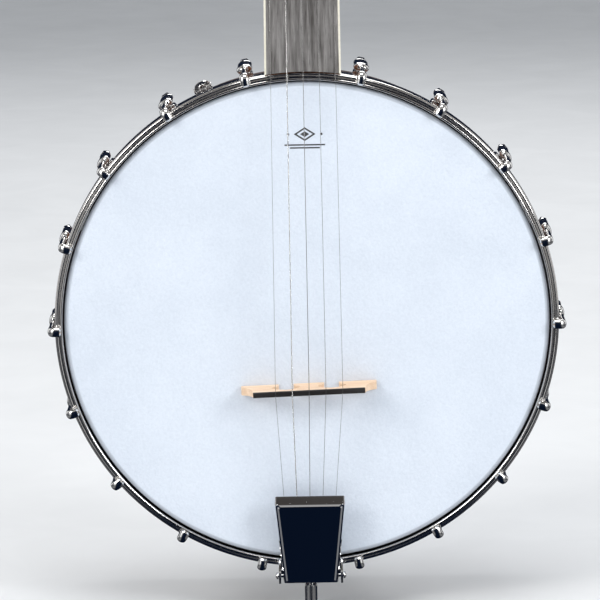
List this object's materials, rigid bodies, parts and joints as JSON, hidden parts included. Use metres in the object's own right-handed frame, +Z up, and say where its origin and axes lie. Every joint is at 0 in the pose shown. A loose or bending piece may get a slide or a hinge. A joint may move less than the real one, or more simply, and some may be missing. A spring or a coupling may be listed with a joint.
{
  "type": "five-string banjo",
  "caption": "Open-back banjo: wooden rim with a coated head under a hooked tension hoop, a long fretted neck with planetary tuners, a three-footed bridge and a clamshell tailpiece.",
  "frame": {"origin": "middle of the rim's flat back face at the tail end, on the instrument's centreline", "axes": "+Z up the neck from tail to headstock, the head faces -Y, +X towards the first string's side"},
  "size_m": [0.3034, 0.1047, 0.9517],
  "materials": {
    "bright_plate": "polished nickel plate",
    "hoop_plate": "polished nickel plate, faint brushing",
    "mirror_plate": "mirror polish",
    "rim_wood": "stained maple, satin lacquer",
    "neck_wood": "stained mahogany, satin lacquer",
    "fretboard_wood": "oiled dark hardwood with fine streaks",
    "coated_head": "frosted white coating on clear film",
    "ring_brass": "rolled brass",
    "hoop_alloy": "plain aluminium",
    "bone": "polished bone",
    "bridge_maple": "bare maple",
    "ebony": "bare ebony",
    "string_steel": "plain and wound steel wire",
    "pearloid": "pearl-effect plastic",
    "black_plastic": "polished black plastic",
    "rod_steel": "turned steel"
  },
  "bodies": {
    "pot_and_neck": {"bracket_01": "bright_plate", "bracket_02": "bright_plate", "bracket_03": "bright_plate", "bracket_04": "bright_plate", "bracket_05": "bright_plate", "bracket_06": "bright_plate", "bracket_07": "bright_plate", "bracket_08": "bright_plate", "bracket_09": "bright_plate", "bracket_10": "bright_plate", "bracket_11": "bright_plate", "bracket_12": "bright_plate", "bracket_13": "bright_plate", "bracket_14": "bright_plate", "bracket_15": "bright_plate", "bracket_16": "bright_plate", "bracket_17": "bright_plate", "bracket_18": "bright_plate", "bridge": "bridge_maple", "bridge_cap": "ebony", "coordinator_rod": "rod_steel", "end_bolt": "bright_plate", "fifth_string_nut": "bone", "flesh_hoop": "hoop_alloy", "fretboard": "fretboard_wood", "head": "coated_head", "neck": "neck_wood", "neck_bolt": "rod_steel", "nut": "bone", "rim": "rim_wood", "strap_bracket": "bright_plate", "string_1": "string_steel", "string_2": "string_steel", "string_3": "string_steel", "string_4": "string_steel", "string_5": "string_steel", "tailpiece_base": "bright_plate", "tailpiece_bracket": "bright_plate", "tailpiece_hinge_pin": "bright_plate", "tailpiece_screw": "bright_plate", "tension_hoop": "hoop_plate", "tone_ring": "ring_brass", "truss_rod_cover": "black_plastic", "tuner_1_housing": "bright_plate", "tuner_2_housing": "bright_plate", "tuner_3_housing": "bright_plate", "tuner_4_housing": "bright_plate", "tuner_5_housing": "bright_plate"},
    "tail_cover": {"tailpiece_cover": "mirror_plate"},
    "fifth_peg": {"tuner_5_post": "bright_plate", "tuner_5_button": "pearloid"},
    "button_1": {"tuner_1_button": "pearloid"},
    "post_1": {"tuner_1_post": "bright_plate"},
    "button_2": {"tuner_2_button": "pearloid"},
    "post_2": {"tuner_2_post": "bright_plate"},
    "button_3": {"tuner_3_button": "pearloid"},
    "post_3": {"tuner_3_post": "bright_plate"},
    "button_4": {"tuner_4_button": "pearloid"},
    "post_4": {"tuner_4_post": "bright_plate"}
  },
  "joints": [
    {"name": "tail_cover_hinge", "type": "hinge", "parent": "pot_and_neck", "child": "tail_cover", "pos_m": [0, -0.0805, -0.0145], "axis": [1, 0, 0], "range_deg": [0, 100]},
    {"name": "button_1_turn", "type": "hinge", "parent": "pot_and_neck", "child": "button_1", "pos_m": [0.0214, -0.01473, 0.80396], "axis": [0, -0.9636, 0.2672], "continuous": true},
    {"name": "post_1_turn", "type": "hinge", "parent": "pot_and_neck", "child": "post_1", "pos_m": [0.0214, -0.04364, 0.81197], "axis": [0, -0.9636, 0.2672], "continuous": true},
    {"name": "button_2_turn", "type": "hinge", "parent": "pot_and_neck", "child": "button_2", "pos_m": [-0.0166, -0.01473, 0.80396], "axis": [0, -0.9636, 0.2672], "continuous": true},
    {"name": "post_2_turn", "type": "hinge", "parent": "pot_and_neck", "child": "post_2", "pos_m": [-0.0166, -0.04364, 0.81197], "axis": [0, -0.9636, 0.2672], "continuous": true},
    {"name": "button_3_turn", "type": "hinge", "parent": "pot_and_neck", "child": "button_3", "pos_m": [0.0214, 0.00184, 0.8637], "axis": [0, -0.9636, 0.2672], "continuous": true},
    {"name": "post_3_turn", "type": "hinge", "parent": "pot_and_neck", "child": "post_3", "pos_m": [0.0214, -0.02707, 0.87172], "axis": [0, -0.9636, 0.2672], "continuous": true},
    {"name": "button_4_turn", "type": "hinge", "parent": "pot_and_neck", "child": "button_4", "pos_m": [-0.0166, 0.00184, 0.8637], "axis": [0, -0.9636, 0.2672], "continuous": true},
    {"name": "post_4_turn", "type": "hinge", "parent": "pot_and_neck", "child": "post_4", "pos_m": [-0.0166, -0.02707, 0.87172], "axis": [0, -0.9636, 0.2672], "continuous": true},
    {"name": "fifth_peg_turn", "type": "hinge", "parent": "pot_and_neck", "child": "fifth_peg", "pos_m": [-0.02, -0.05567, 0.61717], "axis": [-1, 0, 0], "continuous": true}
  ],
  "couplings": [
    {"joint": "post_1_turn", "follows": "button_1_turn", "ratio": 0.25},
    {"joint": "post_2_turn", "follows": "button_2_turn", "ratio": 0.25},
    {"joint": "post_3_turn", "follows": "button_3_turn", "ratio": 0.25},
    {"joint": "post_4_turn", "follows": "button_4_turn", "ratio": 0.25}
  ]
}
